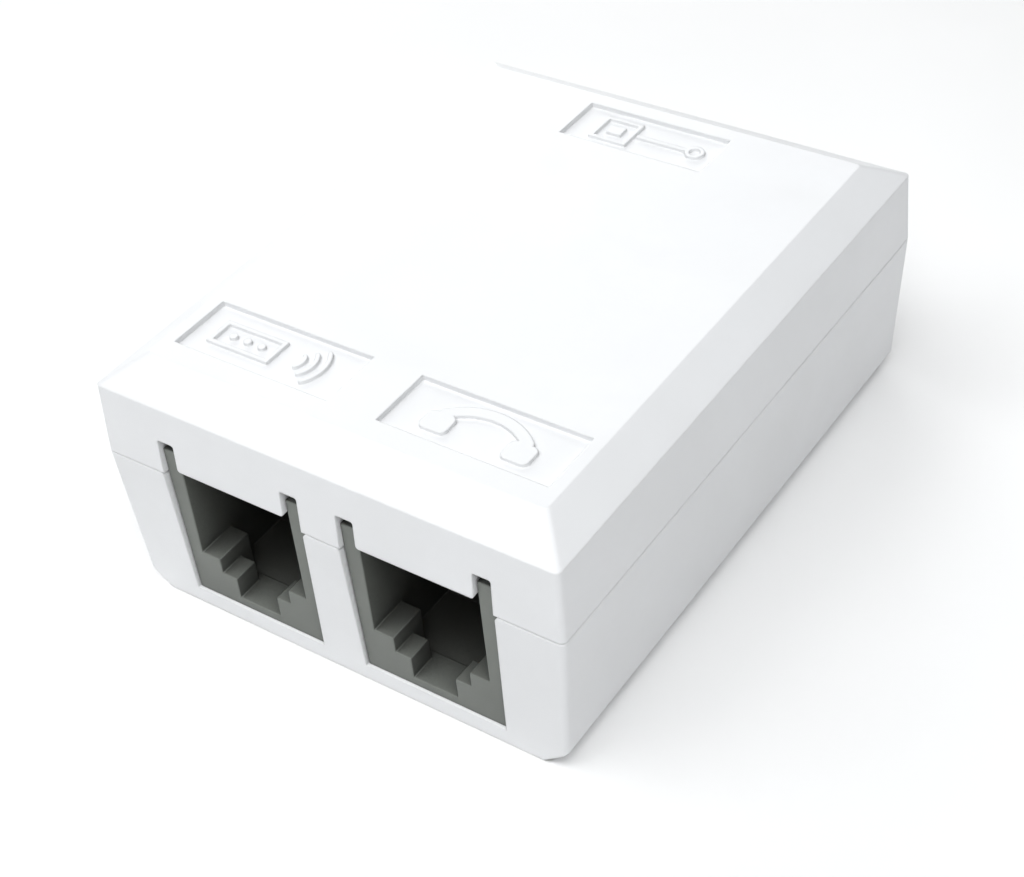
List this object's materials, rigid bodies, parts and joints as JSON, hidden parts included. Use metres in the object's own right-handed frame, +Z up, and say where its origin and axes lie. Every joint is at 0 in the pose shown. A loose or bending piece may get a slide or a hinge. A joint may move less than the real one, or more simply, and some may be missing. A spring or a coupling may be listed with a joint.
{
  "type": "telephone line splitter box",
  "caption": "White telephone line splitter box with modular sockets at both ends, a lift-off cover, a circuit board and filter chokes inside.",
  "frame": {"origin": "middle of the underside", "axes": "+X across to the right of the two front sockets, +Y from the front face to the back face, +Z up"},
  "size_m": [0.0398, 0.0512, 0.021],
  "materials": {
    "board": "green solder mask over laminate",
    "bobbin_plastic": "black moulded plastic",
    "case_plastic": "fine moulded white ABS, faintly satin",
    "ceramic_coat": "ochre dipped epoxy",
    "contact_metal": "gold flashed phosphor bronze wire",
    "ferrite": "dark grey sintered ferrite",
    "film_case": "red brown epoxy",
    "jack_plastic": "mid grey moulded plastic, satin",
    "resistor_coat": "beige lacquer",
    "solder": "bright solder",
    "tinned_wire": "tinned wire",
    "winding": "enamelled copper wire"
  },
  "bodies": {
    "base": {"bottom_shell": "case_plastic", "choke_pins": "tinned_wire", "circuit_board": "board", "component_leads": "tinned_wire", "disc_capacitor": "ceramic_coat", "film_capacitor_1": "film_case", "film_capacitor_2": "film_case", "film_capacitor_3": "film_case", "first_choke_bobbin": "bobbin_plastic", "first_choke_core": "ferrite", "first_choke_winding": "winding", "line_contact_tails": "contact_metal", "line_jack_housing": "jack_plastic", "modem_contact_tails": "contact_metal", "modem_jack_housing": "jack_plastic", "phone_contact_tails": "contact_metal", "phone_jack_housing": "jack_plastic", "resistor_1": "resistor_coat", "resistor_2": "resistor_coat", "second_choke_bobbin": "bobbin_plastic", "second_choke_core": "ferrite", "second_choke_winding": "winding", "solder_joints": "solder"},
    "cover": {"top_cover": "case_plastic"},
    "modem_springs": {"modem_contact_springs": "contact_metal"},
    "phone_springs": {"phone_contact_springs": "contact_metal"},
    "line_springs": {"line_contact_springs": "contact_metal"}
  },
  "joints": [
    {"name": "cover_lift", "type": "slide", "parent": "base", "child": "cover", "axis": [0, 0, 1], "range_m": [0, 0.035]},
    {"name": "modem_contacts_flex", "type": "hinge", "parent": "base", "child": "modem_springs", "pos_m": [-0.00805, -0.02329, 0.01331], "axis": [1, 0, 0], "range_deg": [0, 10], "stiffness_Nm_per_rad": 0.2},
    {"name": "phone_contacts_flex", "type": "hinge", "parent": "base", "child": "phone_springs", "pos_m": [0.00805, -0.02329, 0.01331], "axis": [1, 0, 0], "range_deg": [0, 10], "stiffness_Nm_per_rad": 0.2},
    {"name": "line_contacts_flex", "type": "hinge", "parent": "base", "child": "line_springs", "pos_m": [0, 0.02329, 0.01331], "axis": [-1, 0, 0], "range_deg": [0, 10], "stiffness_Nm_per_rad": 0.2}
  ]
}
